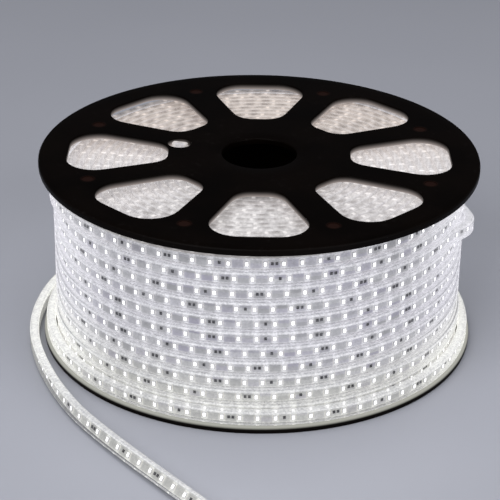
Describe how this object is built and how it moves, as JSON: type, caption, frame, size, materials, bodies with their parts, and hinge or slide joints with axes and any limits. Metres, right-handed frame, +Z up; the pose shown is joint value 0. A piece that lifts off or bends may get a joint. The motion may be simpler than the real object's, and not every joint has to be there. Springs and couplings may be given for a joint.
{
  "type": "led rope light on a reel",
  "caption": "Flat LED rope light in a clear sleeve, wound in level rows on a black spool with windowed flanges, its free end lying on the floor.",
  "frame": {"origin": "on the reel's axis, at the underside of the bottom flange", "axes": "+Z up along the reel's axis, -Y towards the side that the picture shows, +X to its right"},
  "size_m": [0.3418, 0.468, 0.1443],
  "materials": {
    "black_plastic": "satin black",
    "led_strip": "clear sleeve over a white circuit board"
  },
  "bodies": {
    "root": {"bottom_flange": "black_plastic", "top_flange": "black_plastic", "barrel": "black_plastic", "winding": "led_strip", "inner_end": "led_strip", "loose_turn": "led_strip", "free_end": "led_strip"}
  },
  "joints": []
}
